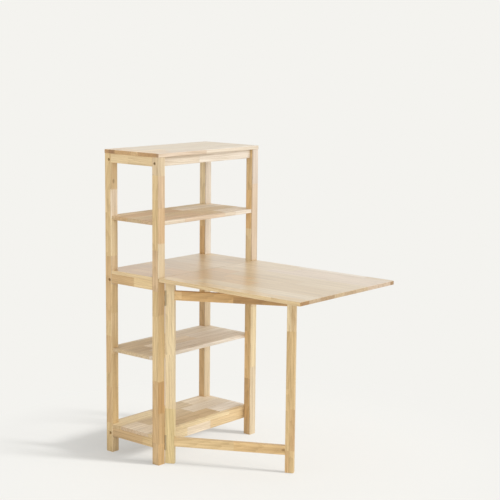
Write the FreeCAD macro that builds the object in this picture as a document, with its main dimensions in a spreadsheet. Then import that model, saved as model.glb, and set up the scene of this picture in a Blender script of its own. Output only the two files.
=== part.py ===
import FreeCAD, Part
import os
import re
import Sketcher

# An open shelf unit of solid rubberwood with a table leaf hinged to its middle shelf. A gate leg, hinged
# to the front left post, swings out to carry the leaf and folds in between the two front posts.
# +X runs along the shelves to the right, +Y to the back, +Z up. The origin is on the floor, under the
# middle of the unfolded table.

# Driving sizes in millimetres; gate_open and countersink_angle are in degrees.
SIZES = {
    # shelf unit
    "unit_width": 590,
    "unit_depth": 295,
    "unit_height": 1230,
    "post_size": 35,
    "board_thick": 15,
    "rail_height": 36,
    "rail_thick": 15,
    "rail_setback": 15,
    "edge_round": 2,
    "top_overhang": 2,
    "top_corner": 5,
    "table_height": 750,
    "upper_level": 967,
    "lower_level": 433,
    "bottom_level": 118,
    "shelf_inset": 4,
    "fit_gap": 0.5,
    "stretcher_setback": 2,
    # table leaf
    "leaf_length": 690,
    "leaf_corner": 8,
    "seam_gap": 1.6,
    # gate leg, open as it stands in use
    "gate_open": 62,
    "gate_thick": 22,
    "stile_width": 38,
    "leg_width": 35,
    "gate_rail_height": 36,
    "gate_rail_drop": 39,
    "gate_rail_lift": 72,
    "foot_gap": 1.5,
    "head_gap": 0.5,
    "gate_gap": 0.5,
    "latch_gap": 2,
    # bolts and barrel nuts of the long rails
    "bolt_dia": 6,
    "bolt_head_dia": 10,
    "bolt_head_height": 6,
    "bolt_socket": 5,
    "bolt_socket_deep": 3,
    "bolt_recess": 12,
    "bolt_recess_dia": 12,
    "bolt_lift": 12,
    "bolt_past_nut": 8,
    "nut_dia": 10,
    "nut_length": 12,
    "nut_from_end": 30,
    # dowels
    "dowel_dia": 6,
    "dowel_in_post": 14,
    "dowel_in_rail": 20,
    "side_dowel_low": 23,
    "side_dowel_high": 31,
    "long_dowel_lift": 27,
    "gate_dowel_dia": 8,
    "gate_dowel_deep": 18,
    "gate_dowel_edge": 10,
    # screws from the rails up into the boards
    "board_screw_dia": 4,
    "board_screw_head": 8,
    "board_screw_head_height": 2.5,
    "board_screw_length": 32,
    "board_screw_recess": 14,
    "board_screw_from_end": 45,
    "stretcher_screw_out": 190,
    # pins that carry the two loose shelves
    "shelf_pin_dia": 5,
    "shelf_pin_in": 12,
    "shelf_pin_out": 10,
    # hinges
    "hinge_length": 60,
    "plate_width": 18,
    "plate_thick": 1.6,
    "knuckle_dia": 6,
    "hinge_pin_dia": 3,
    "knuckle_gap": 0.3,
    "knuckle_play": 0.15,
    "knuckle_proud": 0.5,
    "mortise_play": 0.3,
    "leaf_knuckle_drop": 3.2,
    "upper_hinge_drop": 68,
    "lower_hinge_level": 86,
    "leaf_hinge_from_post": 80,
    "hinge_screw_dia": 3.5,
    "hinge_screw_head": 6.6,
    "hinge_screw_length": 12,
    "hinge_screw_edge": 14,
    "hinge_screw_in": 7,
    "countersink_angle": 45,
    # radial clearance of a round piece in its hole, and how far a cut runs past a face
    "bore_clear": 0.05,
    "cut_overrun": 5,
}

# Places that many pieces share, as sums of sizes.
LEFT = "(-unit_width / 2)"
RIGHT = "(unit_width / 2)"
FRONT = "((leaf_length + seam_gap - unit_depth - top_overhang) / 2)"
BACK = f"({FRONT} + unit_depth)"
TOP_UNDER = "(unit_height - board_thick)"
TABLE_UNDER = "(table_height - board_thick)"
BOTTOM_UNDER = "(bottom_level - board_thick)"
SIDE_RAIL_FRONT = f"({FRONT} + post_size)"
SIDE_RAIL_LENGTH = "(unit_depth - 2 * post_size)"
LONG_RAIL_LENGTH = "(unit_width - 2 * post_size)"
FRONT_RAIL_Y = f"({FRONT} + rail_setback)"
BACK_RAIL_Y = f"({BACK} - rail_setback - rail_thick)"
RAIL_LEVELS = {"top": TOP_UNDER, "middle": TABLE_UNDER, "bottom": BOTTOM_UNDER}
HINGE_OFFSET = "(knuckle_dia / 2 + knuckle_play)"
GATE_X = f"({LEFT} + post_size + {HINGE_OFFSET})"
GATE_Y = f"({FRONT} - knuckle_proud)"
GATE_START = f"(gate_gap - {HINGE_OFFSET})"
GATE_END = f"({LONG_RAIL_LENGTH} - {HINGE_OFFSET} - latch_gap)"
GATE_TOP = f"({TABLE_UNDER} - head_gap)"
LEAF_AXIS_Y = f"({FRONT} - seam_gap / 2)"
LEAF_AXIS_Z = f"({TABLE_UNDER} - leaf_knuckle_drop)"
BORE_GAP = "2 * bore_clear"
HINGE_SCREW_RISES = ["hinge_screw_edge", "(hinge_length - hinge_screw_edge)"]

# An edge counts as straight along an axis, or as part of a board's rim, within these shares.
STRAIGHT_SHARE = 0.99
RIM_SHARE = 0.01

PLANES = {"X": ("YZ_Plane", ""), "Y": ("XZ_Plane", "-"), "Z": ("XY_Plane", "")}
ACROSS = {"X": "YZ", "Y": "XZ", "Z": "XY"}


def turned(z_to):
    """The rotation that takes the local Z axis to a direction."""
    return FreeCAD.Rotation(FreeCAD.Vector(0, 0, 1), FreeCAD.Vector(*z_to))


TURNS = {
    "+X": turned((1, 0, 0)),
    "-X": turned((-1, 0, 0)),
    "+Y": turned((0, 1, 0)),
    "-Y": turned((0, -1, 0)),
    "+Z": FreeCAD.Rotation(),
    "under leaf": FreeCAD.Rotation(FreeCAD.Vector(0, 0, -1), FreeCAD.Vector(0, -1, 0),
                                   FreeCAD.Vector(-1, 0, 0), "ZXY"),
}

doc = FreeCAD.newDocument("gate_leg_table")
sheet = doc.addObject("Spreadsheet::Sheet", "Dims")
for row, (alias, number) in enumerate(SIZES.items(), start=1):
    sheet.set(f"A{row}", alias)
    sheet.set(f"B{row}", str(number))
    sheet.setAlias(f"B{row}", alias)
doc.recompute()

nodes = []


def cells(text):
    """The sheet's expression for a sum of size names; every size name has an underscore."""
    return re.sub(r"[a-z]+(?:_[a-z]+)+", lambda word: "Dims." + word.group(), text)


def amount(text):
    """What a sum of size names comes to now, to draw a sketch near its final shape."""
    return float(sheet.evalExpression(cells(text)))


def put(thing, place):
    """Bind a piece's place to sums of size names."""
    for axis, text in zip("xyz", place):
        thing.setExpression(f"Placement.Base.{axis}", cells(text))


def hang_on_gate(thing, place):
    """Bind a piece to the swung gate: along it, through it towards the back, and up."""
    along, through, up = place
    put(thing, (
        f"{GATE_X} + ({along}) * cos(gate_open) + ({through}) * sin(gate_open)",
        f"{GATE_Y} - ({along}) * sin(gate_open) + ({through}) * cos(gate_open)",
        up,
    ))
    thing.setExpression("Placement.Rotation.Angle", cells("-gate_open"))


def constrain(sketch, constraint, text):
    """Add a sketch dimension and bind it to a sum of size names."""
    index = sketch.addConstraint(constraint)
    sketch.setExpression(f"Constraints[{index}]", cells(text))


def locate(sketch, geometry, point, corner):
    """Dimension a point of the sketch from the sketch's origin, or hold it on an axis."""
    for kind, axis, text in zip(("DistanceX", "DistanceY"), (-2, -1), corner):
        if text == "0":
            sketch.addConstraint(Sketcher.Constraint("PointOnObject", geometry, point, axis))
        else:
            constrain(sketch, Sketcher.Constraint(kind, -1, 1, geometry, point, amount(text)), text)


def rectangle(sketch, corner, size):
    """A rectangle whose near corner and two sides are dimensioned."""
    x, y = (amount(text) for text in corner)
    wide, deep = (amount(text) for text in size)
    points = [FreeCAD.Vector(x, y), FreeCAD.Vector(x + wide, y),
              FreeCAD.Vector(x + wide, y + deep), FreeCAD.Vector(x, y + deep)]
    first = sketch.GeometryCount
    for start, end in zip(points, points[1:] + points[:1]):
        sketch.addGeometry(Part.LineSegment(start, end))
    for side in range(4):
        after = first + (side + 1) % 4
        sketch.addConstraint(Sketcher.Constraint("Coincident", first + side, 2, after, 1))
    for side, way in enumerate(("Horizontal", "Vertical", "Horizontal", "Vertical")):
        sketch.addConstraint(Sketcher.Constraint(way, first + side))
    constrain(sketch, Sketcher.Constraint("DistanceX", first, 1, first, 2, wide), size[0])
    constrain(sketch, Sketcher.Constraint("DistanceY", first + 1, 1, first + 1, 2, deep), size[1])
    locate(sketch, first, 1, corner)


def circle(sketch, centre, diameter):
    """A circle with its centre and diameter dimensioned."""
    x, y = (amount(text) for text in centre)
    size = amount(diameter)
    index = sketch.addGeometry(
        Part.Circle(FreeCAD.Vector(x, y), FreeCAD.Vector(0, 0, 1), size / 2))
    constrain(sketch, Sketcher.Constraint("Diameter", index, size), diameter)
    locate(sketch, index, 3, centre)


class Piece:
    """One sub-part as a body, built with its near, low, left corner at its own origin."""

    def __init__(self, name, place, on_gate=False, turn="+Z"):
        self.place = place
        self.body = doc.addObject("PartDesign::Body", name)
        self.body.Label = name
        self.body.Placement = FreeCAD.Placement(FreeCAD.Vector(), TURNS[turn])
        if on_gate:
            hang_on_gate(self.body, place)
        else:
            put(self.body, place)
        nodes.append(self.body)

    def sketch(self, axis, level):
        """A sketch square to an axis of the piece, at a level along it."""
        role, sign = PLANES[axis]
        drawing = self.body.newObject("Sketcher::SketchObject", f"{self.body.Label}_sketch")
        plane = next(item for item in self.body.Origin.OriginFeatures if item.Role == role)
        drawing.AttachmentSupport = (plane, [""])
        drawing.MapMode = "FlatFace"
        drawing.setExpression("AttachmentOffset.Base.z", cells(f"{sign}({level})"))
        return drawing

    def feature(self, kind, drawing, length):
        """A pad or a pocket of a sketch."""
        made = self.body.newObject(f"PartDesign::{kind}", f"{self.body.Label}_{kind.lower()}")
        made.Profile = drawing
        made.setExpression("Length", cells(length))
        drawing.Visibility = False
        return made

    def block(self, size):
        """Pad the piece's plan to its height."""
        drawing = self.sketch("Z", "0")
        rectangle(drawing, ("0", "0"), size[:2])
        self.feature("Pad", drawing, size[2])
        doc.recompute()

    def cut(self, way, start, outlines, depth):
        """Pocket some outlines from a level, along or against an axis of the piece."""
        sign, axis = way
        drawing = self.sketch(axis, start)
        for shape, *sizes in outlines:
            shape(drawing, *sizes)
        pocket = self.feature("Pocket", drawing, depth)
        pocket.Reversed = (sign == "+") != (axis == "Y")

    def drill(self, way, points, diameter, depth):
        """Drill holes at points given in the frame that the piece is placed in."""
        sign, axis = way
        along = "XYZ".index(axis)
        level = f"({points[0][along]}) - ({self.place[along]})"
        across = ["XYZ".index(letter) for letter in ACROSS[axis]]
        centres = [tuple(f"({point[i]}) - ({self.place[i]})" for i in across) for point in points]
        self.cut(way, level, [(circle, centre, diameter) for centre in centres], depth)

    def round_edges(self, chosen, radius):
        """Round the edges of the body that a test picks out."""
        doc.recompute()
        base = self.body.Tip
        box = base.Shape.BoundBox
        names = [f"Edge{i}" for i, edge in enumerate(base.Shape.Edges, start=1) if chosen(edge, box)]
        fillet = self.body.newObject("PartDesign::Fillet", f"{self.body.Label}_round")
        fillet.Base = (base, names)
        fillet.setExpression("Radius", cells(radius))
        doc.recompute()


def runs_along(axis):
    """A test for straight edges along an axis."""
    def test(edge, box):
        lengths = (edge.BoundBox.XLength, edge.BoundBox.YLength, edge.BoundBox.ZLength)
        return lengths["XYZ".index(axis)] > STRAIGHT_SHARE * edge.Length
    return test


def on_rim(*sides):
    """A test for the level edges along some sides of a board."""
    def test(edge, box):
        spot = edge.BoundBox.Center
        away = {"left": spot.x - box.XMin, "right": box.XMax - spot.x,
                "front": spot.y - box.YMin, "back": box.YMax - spot.y}
        level = edge.BoundBox.ZLength < RIM_SHARE * box.ZLength
        return level and any(away[side] < RIM_SHARE * box.ZLength for side in sides)
    return test


def front_corner(edge, box):
    """A test for the upright edges at the front corners of a board."""
    return runs_along("Z")(edge, box) and edge.BoundBox.YMax < box.Center.y


def timber(name, place, size, axis, on_gate=False):
    """A straight stick of wood with its long edges eased."""
    stick = Piece(name, place, on_gate)
    stick.block(size)
    stick.round_edges(runs_along(axis), "edge_round")
    return stick


def board(name, place, size, corners=None, corner_size=None, rim=("left", "right", "front", "back")):
    """A glued-up board with its rim eased and, where a test is given, rounded corners."""
    panel = Piece(name, place)
    panel.block(size)
    if corners:
        panel.round_edges(corners, corner_size)
    panel.round_edges(on_rim(*rim), "edge_round")
    return panel


def notch(panel, size, cut_in, corners):
    """Cut corners out of a board so that it fits round the posts."""
    wide, deep = size
    reach = f"({cut_in} + cut_overrun)"
    starts = {"left": "-cut_overrun", "right": f"{wide} - ({cut_in})",
              "front": "-cut_overrun", "back": f"{deep} - ({cut_in})"}
    squares = [(rectangle, (starts[side], starts[end]), (reach, reach)) for end, side in corners]
    panel.cut("-Z", "board_thick", squares, "board_thick")


def solid(kind, way, at, **sizes):
    """A primitive that starts at a point and runs along an axis."""
    thing = doc.addObject(f"Part::{kind}", kind.lower())
    thing.Placement = FreeCAD.Placement(FreeCAD.Vector(), TURNS[way])
    put(thing, at)
    for name, text in sizes.items():
        thing.setExpression(name, cells(text))
    return thing


def rod(way, at, diameter, length):
    """A round rod from a point along an axis."""
    return solid("Cylinder", way, at, Radius=f"({diameter}) / 2", Height=length)


def joined(*members):
    """Several primitives as one solid."""
    fuse = doc.addObject("Part::MultiFuse", "joined")
    fuse.Shapes = members
    return fuse


def bored(base, tool):
    """A solid with another cut out of it."""
    cut = doc.addObject("Part::Cut", "bored")
    cut.Base = base
    cut.Tool = tool
    return cut


def group(name, members, on_gate=False):
    """Like fasteners as one sub-part of separate solids."""
    compound = doc.addObject("Part::Compound", name)
    compound.Label = name
    compound.Links = members
    if on_gate:
        hang_on_gate(compound, ("0", "0", "0"))
    nodes.append(compound)


def machine_bolt(way, at, length):
    """A bolt with a round head and a hexagon socket, from the head's outer face."""
    head = rod(way, at, "bolt_head_dia", "bolt_head_height")
    shank = rod(way, at, "bolt_dia", length)
    socket = solid("Prism", way, at, Circumradius="bolt_socket / 2", Height="bolt_socket_deep")
    return bored(joined(head, shank), socket)


def board_screw(at):
    """A pan-headed wood screw that points up, from the bottom of its head."""
    head = rod("+Z", at, "board_screw_head", "board_screw_head_height")
    return joined(head, rod("+Z", at, "board_screw_dia", "board_screw_length"))


def hinge_screw(way, at):
    """A countersunk wood screw, from the face of its head."""
    head = solid("Cone", way, at, Radius1="hinge_screw_head / 2 - bore_clear",
                 Radius2="hinge_screw_dia / 2", Height="(hinge_screw_head - hinge_screw_dia) / 2 - bore_clear")
    return joined(head, rod(way, at, "hinge_screw_dia", "hinge_screw_length"))


def hinge_plate(name, place, offset, holds_middle, mirrored=False, on_gate=False, turn="+Z"):
    """Half a butt hinge. Its pin line is the local Z axis, and its plate runs from there along +Y."""
    plate = Piece(name, place, on_gate, turn)
    inner = f"({offset} - plate_thick)" if mirrored else f"(-{offset})"
    drawing = plate.sketch("Z", "0")
    rectangle(drawing, (inner, "0"), ("plate_thick", "plate_width"))
    plate.feature("Pad", drawing, "hinge_length")
    third = "(hinge_length / 3)"
    half_gap = "knuckle_gap / 2"
    ends = [("0", f"{third} - {half_gap}"), (f"2 * {third} + {half_gap}", f"{third} - {half_gap}")]
    middle = [(f"{third} + {half_gap}", f"{third} - knuckle_gap")]
    kept, other = (middle, ends) if holds_middle else (ends, middle)
    back = "(knuckle_dia / 2 + knuckle_gap)"
    gaps = [(rectangle, ("-cut_overrun", f"{low} - knuckle_gap"),
             (f"{back} + cut_overrun", f"{tall} + 2 * knuckle_gap")) for low, tall in other]
    plate.cut("+X", f"{inner} - cut_overrun", gaps, "plate_thick + 2 * cut_overrun")
    for low, tall in kept:
        drawing = plate.sketch("Z", low)
        circle(drawing, ("0", "0"), "knuckle_dia")
        plate.feature("Pad", drawing, tall)
    plate.cut("+Z", "-cut_overrun", [(circle, ("0", "0"), f"hinge_pin_dia + {BORE_GAP}")],
              "hinge_length + 2 * cut_overrun")
    spots = [("plate_width - hinge_screw_in", text) for text in HINGE_SCREW_RISES]
    face, way = (inner, "+X") if mirrored else (f"({inner} + plate_thick)", "-X")
    plate.cut(way, face, [(circle, spot, f"hinge_screw_dia + {BORE_GAP}") for spot in spots],
              "plate_thick + cut_overrun")
    plate.cut(way, face, [(circle, spot, "hinge_screw_head") for spot in spots],
              "(hinge_screw_head - hinge_screw_dia) / 2")
    plate.body.Tip.setExpression("TaperAngle", cells("-countersink_angle"))
    return plate


# Posts, each from the floor to the underside of the top board.
SIDES = {"left": (LEFT, f"({LEFT} + post_size)", "+X", "-X"),
         "right": (RIGHT, f"({RIGHT} - post_size)", "-X", "+X")}
POST_X = {"left": LEFT, "right": f"({RIGHT} - post_size)"}
POST_Y = {"front": FRONT, "back": f"({BACK} - post_size)"}
CORNERS = [(end, side) for end in POST_Y for side in POST_X]
posts = {}
for end, side in CORNERS:
    posts[end, side] = timber(f"post_{end}_{side}", (POST_X[side], POST_Y[end], "0"),
                              ("post_size", "post_size", TOP_UNDER), "Z")

# Side rails, flush with the outer faces of the posts.
SIDE_RAIL_X = {"left": LEFT, "right": f"({RIGHT} - rail_thick)"}
side_rails = {}
for level, under in RAIL_LEVELS.items():
    for side, x in SIDE_RAIL_X.items():
        side_rails[level, side] = timber(
            f"{level}_rail_{side}", (x, SIDE_RAIL_FRONT, f"({under} - rail_height)"),
            ("rail_thick", SIDE_RAIL_LENGTH, "rail_height"), "Y")

# Long rails between the posts, bolted through them. None runs in front at the middle level, where the
# gate folds in.
LONG_RAIL_Y = {"front": FRONT_RAIL_Y, "back": BACK_RAIL_Y}
BOLTED = [("top", "front"), ("top", "back"), ("middle", "back"), ("bottom", "back")]
long_rails = {}
for level, end in BOLTED:
    long_rails[level, end] = timber(
        f"{level}_rail_{end}",
        (SIDES["left"][1], LONG_RAIL_Y[end], f"({RAIL_LEVELS[level]} - rail_height)"),
        (LONG_RAIL_LENGTH, "rail_thick", "rail_height"), "X")

# The front stretcher under the bottom shelf runs between the side rails, behind the folded gate.
STRETCHER_Y = f"({SIDE_RAIL_FRONT} + fit_gap + stretcher_setback)"
stretcher = timber("bottom_rail_front",
                   (f"({LEFT} + rail_thick)", STRETCHER_Y, f"({BOTTOM_UNDER} - rail_height)"),
                   ("(unit_width - 2 * rail_thick)", "rail_thick", "rail_height"), "X")

# Boards. The lower two shelves stop behind the front posts, which leaves room for the folded gate.
top_board = board("top_board", (f"({LEFT} - top_overhang)", f"({FRONT} - top_overhang)", TOP_UNDER),
                  ("unit_width + 2 * top_overhang", "unit_depth + 2 * top_overhang", "board_thick"),
                  runs_along("Z"), "top_corner")

upper_size = ("(unit_width - 2 * shelf_inset)", "(unit_depth - 2 * shelf_inset)", "board_thick")
upper_shelf = board("upper_shelf",
                    (f"({LEFT} + shelf_inset)", f"({FRONT} + shelf_inset)", "(upper_level - board_thick)"),
                    upper_size)
notch(upper_shelf, upper_size[:2], "post_size - shelf_inset + fit_gap", CORNERS)

middle_size = ("unit_width", "unit_depth", "board_thick")
middle_shelf = board("middle_shelf", (LEFT, FRONT, TABLE_UNDER), middle_size, rim=("left", "right", "back"))
notch(middle_shelf, middle_size[:2], "post_size + fit_gap", CORNERS)

LOW_FRONT = f"({SIDE_RAIL_FRONT} + fit_gap)"
BACK_CORNERS = [corner for corner in CORNERS if corner[0] == "back"]
lower_size = (upper_size[0], f"({BACK} - shelf_inset - {LOW_FRONT})", "board_thick")
lower_shelf = board("lower_shelf",
                    (f"({LEFT} + shelf_inset)", LOW_FRONT, "(lower_level - board_thick)"), lower_size)
notch(lower_shelf, lower_size[:2], "post_size - shelf_inset + fit_gap", BACK_CORNERS)

bottom_size = ("unit_width", f"({BACK} - {LOW_FRONT})", "board_thick")
bottom_shelf = board("bottom_shelf", (LEFT, LOW_FRONT, BOTTOM_UNDER), bottom_size)
notch(bottom_shelf, bottom_size[:2], "post_size + fit_gap", BACK_CORNERS)

# The table leaf lies level with the middle shelf and butts its front edge across the whole width.
LEAF_FRONT = f"({FRONT} - seam_gap - leaf_length)"
table_leaf = board("table_leaf", (LEFT, LEAF_FRONT, TABLE_UNDER), ("unit_width", "leaf_length", "board_thick"),
                   front_corner, "leaf_corner", ("left", "right", "front"))

# The gate: a stile at the hinges, an outer leg and two rails, drawn shut and swung open.
GATE_RAIL_START = f"({GATE_START} + stile_width)"
GATE_LEG_START = f"({GATE_END} - leg_width)"
GATE_RAIL_LENGTH = f"({GATE_LEG_START} - {GATE_RAIL_START})"
GATE_HEIGHT = f"({GATE_TOP} - foot_gap)"
gate_stile = timber("gate_stile", (GATE_START, "knuckle_proud", "foot_gap"),
                    ("stile_width", "gate_thick", GATE_HEIGHT), "Z", True)
gate_leg = timber("gate_leg", (GATE_LEG_START, "knuckle_proud", "foot_gap"),
                  ("leg_width", "gate_thick", GATE_HEIGHT), "Z", True)
GATE_RAIL_Z = {"top": f"({TABLE_UNDER} - gate_rail_drop - gate_rail_height)", "bottom": "gate_rail_lift"}
gate_rails = {}
for level, z in GATE_RAIL_Z.items():
    gate_rails[level] = timber(f"gate_{level}_rail", (GATE_RAIL_START, "knuckle_proud", z),
                               (GATE_RAIL_LENGTH, "gate_thick", "gate_rail_height"), "X", True)

# Bolts, barrel nuts and dowels of the long rails.
BOLT_HOLE = f"bolt_dia + {BORE_GAP}"
DOWEL_HOLE = f"dowel_dia + {BORE_GAP}"
bolts, nuts, dowels = [], [], []
for end, side in CORNERS:
    outer, inner, inward, outward = SIDES[side]
    sign = inward[0]
    y = f"({LONG_RAIL_Y[end]} + rail_thick / 2)"
    bottoms = [f"({RAIL_LEVELS[level]} - rail_height)" for level, where in BOLTED if where == end]
    bolt_spots = [(outer, y, f"{bottom} + bolt_lift") for bottom in bottoms]
    dowel_spots = [(inner, y, f"{bottom} + long_dowel_lift") for bottom in bottoms]
    posts[end, side].drill(inward, bolt_spots, "bolt_recess_dia", "bolt_recess")
    posts[end, side].drill(inward, bolt_spots, BOLT_HOLE, "post_size + cut_overrun")
    posts[end, side].drill(outward, dowel_spots, DOWEL_HOLE, "dowel_in_post")
    for spot, dowel_spot in zip(bolt_spots, dowel_spots):
        head = f"{outer} {sign} (bolt_recess - bolt_head_height)"
        reach = "post_size - bolt_recess + bolt_head_height + nut_from_end + bolt_past_nut"
        bolts.append(machine_bolt(inward, (head, *spot[1:]), reach))
        across = (f"{inner} {sign} nut_from_end", f"{y} - nut_length / 2", spot[2])
        nut = rod("+Y", across, "nut_dia", "nut_length")
        thread = rod("+X", (f"{across[0]} - nut_dia", *spot[1:]), BOLT_HOLE, "2 * nut_dia")
        nuts.append(bored(nut, thread))
        start = f"{inner} {'-' if sign == '+' else '+'} dowel_in_post"
        dowels.append(rod(inward, (start, *dowel_spot[1:]), "dowel_dia", "dowel_in_post + dowel_in_rail"))
for (level, end), rail in long_rails.items():
    y = f"({LONG_RAIL_Y[end]} + rail_thick / 2)"
    bottom = f"({RAIL_LEVELS[level]} - rail_height)"
    nut_spots = []
    for outer, inner, inward, outward in SIDES.values():
        rail.drill(inward, [(inner, y, f"{bottom} + bolt_lift")], BOLT_HOLE, "nut_from_end + 2 * bolt_past_nut")
        rail.drill(inward, [(inner, y, f"{bottom} + long_dowel_lift")], DOWEL_HOLE, "dowel_in_rail")
        nut_spots.append((f"{inner} {inward[0]} nut_from_end", f"{LONG_RAIL_Y[end]} + rail_thick",
                          f"{bottom} + bolt_lift"))
    rail.drill("-Y", nut_spots, f"nut_dia + {BORE_GAP}", "(rail_thick + nut_length) / 2")

# Dowels of the side rails.
SIDE_END_Y = {"front": SIDE_RAIL_FRONT, "back": POST_Y["back"]}
INTO_RAIL = {"front": "+Y", "back": "-Y"}
INTO_POST = {"front": "-Y", "back": "+Y"}
for end, side in CORNERS:
    x = f"({SIDE_RAIL_X[side]} + rail_thick / 2)"
    spots = {level: [(x, SIDE_END_Y[end], f"{under} - rail_height + {lift}")
                     for lift in ("side_dowel_low", "side_dowel_high")] for level, under in RAIL_LEVELS.items()}
    posts[end, side].drill(INTO_POST[end], sum(spots.values(), []), DOWEL_HOLE, "dowel_in_post")
    back_up = "-" if end == "front" else "+"
    for level, pair in spots.items():
        side_rails[level, side].drill(INTO_RAIL[end], pair, DOWEL_HOLE, "dowel_in_rail")
        for x_spot, y_spot, z_spot in pair:
            start = (x_spot, f"{y_spot} {back_up} dowel_in_post", z_spot)
            dowels.append(rod(INTO_RAIL[end], start, "dowel_dia", "dowel_in_post + dowel_in_rail"))

# Screws up through the rails into the top, middle and bottom boards.
SCREW_HOLE = f"board_screw_dia + {BORE_GAP}"
SCREW_RISE = "(board_screw_recess + board_screw_length - rail_height)"
SCREW_Y = [f"{SIDE_RAIL_FRONT} + board_screw_from_end", f"{POST_Y['back']} - board_screw_from_end"]
STRETCHER_SCREW_X = ["-stretcher_screw_out", "0", "stretcher_screw_out"]
carriers = [(rail, level, [(f"{SIDE_RAIL_X[side]} + rail_thick / 2", y) for y in SCREW_Y])
            for (level, side), rail in side_rails.items()]
carriers.append((stretcher, "bottom", [(x, f"{STRETCHER_Y} + rail_thick / 2") for x in STRETCHER_SCREW_X]))
screwed_boards = {"top": top_board, "middle": middle_shelf, "bottom": bottom_shelf}
board_screws = []
board_spots = {level: [] for level in screwed_boards}
for rail, level, plan in carriers:
    spots = [(x, y, f"{RAIL_LEVELS[level]} - rail_height") for x, y in plan]
    rail.drill("+Z", spots, f"board_screw_head + {BORE_GAP}", "board_screw_recess")
    rail.drill("+Z", spots, SCREW_HOLE, "rail_height + cut_overrun")
    board_spots[level] += [(x, y, RAIL_LEVELS[level]) for x, y in plan]
    for x, y, z in spots:
        head = (x, y, f"{z} + board_screw_recess - board_screw_head_height")
        board_screws.append(board_screw(head))
for level, panel in screwed_boards.items():
    panel.drill("+Z", board_spots[level], SCREW_HOLE, SCREW_RISE)

# Pins in the posts under the upper and lower shelves.
shelf_pins = []
for end, side in CORNERS:
    x = f"{POST_X[side]} + post_size / 2"
    spots = [(x, SIDE_END_Y[end], f"{level} - board_thick - shelf_pin_dia / 2")
             for level in ("upper_level", "lower_level")]
    posts[end, side].drill(INTO_POST[end], spots, f"shelf_pin_dia + {BORE_GAP}", "shelf_pin_in")
    back_up = "-" if end == "front" else "+"
    for x_spot, y_spot, z_spot in spots:
        start = (x_spot, f"{y_spot} {back_up} shelf_pin_in", z_spot)
        shelf_pins.append(rod(INTO_RAIL[end], start, "shelf_pin_dia", "shelf_pin_in + shelf_pin_out"))

# Dowels in the gate's corners, drawn on the shut gate.
GATE_DOWEL_HOLE = f"gate_dowel_dia + {BORE_GAP}"
gate_dowels = []
joint_ends = {GATE_RAIL_START: (gate_stile, "-X", "+X"),
              GATE_LEG_START: (gate_leg, "+X", "-X")}
for along, (upright, into_upright, into_rail) in joint_ends.items():
    upright_spots = []
    for level, z in GATE_RAIL_Z.items():
        spots = [(along, "knuckle_proud + gate_thick / 2", f"{z} + {lift}")
                 for lift in ("gate_dowel_edge", "gate_rail_height - gate_dowel_edge")]
        gate_rails[level].drill(into_rail, spots, GATE_DOWEL_HOLE, "gate_dowel_deep")
        upright_spots += spots
        for spot in spots:
            start = (f"{along} - gate_dowel_deep", *spot[1:])
            gate_dowels.append(rod("+X", start, "gate_dowel_dia", "2 * gate_dowel_deep"))
    upright.drill(into_upright, upright_spots, GATE_DOWEL_HOLE, "gate_dowel_deep")

# Gate hinges between the front left post and the stile. They are screwed flat to the post and let into the
# stile, so that the shut gate comes close to the post.
PILOT_HOLE = f"hinge_screw_dia + {BORE_GAP}"
HINGE_SCREW_SPAN = "plate_width - hinge_screw_in"
gate_levels = {"upper": f"({TABLE_UNDER} - upper_hinge_drop)", "lower": "lower_hinge_level"}
unit_screws, gate_screws, leaf_screws = [], [], []
post_spots, stile_spots, mortises = [], [], []
for name, level in gate_levels.items():
    low = f"({level} - hinge_length / 2)"
    hinge_plate(f"gate_hinge_{name}_post_plate", (GATE_X, GATE_Y, low), HINGE_OFFSET, False)
    hinge_plate(f"gate_hinge_{name}_gate_plate", ("0", "0", low), HINGE_OFFSET, True, True, True)
    mortises.append((rectangle, ("-cut_overrun", f"{low} - foot_gap - mortise_play"),
                     ("cut_overrun + plate_width + mortise_play - knuckle_proud",
                      "hinge_length + 2 * mortise_play")))
    pin = rod("+Z", (GATE_X, GATE_Y, low), "hinge_pin_dia", "hinge_length")
    pin.Label = f"gate_hinge_{name}_pin"
    nodes.append(pin)
    for rise in HINGE_SCREW_RISES:
        post_spots.append((f"({LEFT} + post_size)", f"{GATE_Y} + {HINGE_SCREW_SPAN}", f"{low} + {rise}"))
        stile_spots.append((HINGE_OFFSET, HINGE_SCREW_SPAN, f"{low} + {rise}"))
gate_stile.cut("+X", "0", mortises, f"{HINGE_OFFSET} - {GATE_START}")
posts["front", "left"].drill("-X", post_spots, PILOT_HOLE, "hinge_screw_length")
gate_stile.drill("+X", stile_spots, PILOT_HOLE, "hinge_screw_length")
unit_screws += [hinge_screw("-X", (f"{x} + plate_thick", y, z)) for x, y, z in post_spots]
gate_screws += [hinge_screw("+X", (f"{x} - plate_thick", y, z)) for x, y, z in stile_spots]

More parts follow.
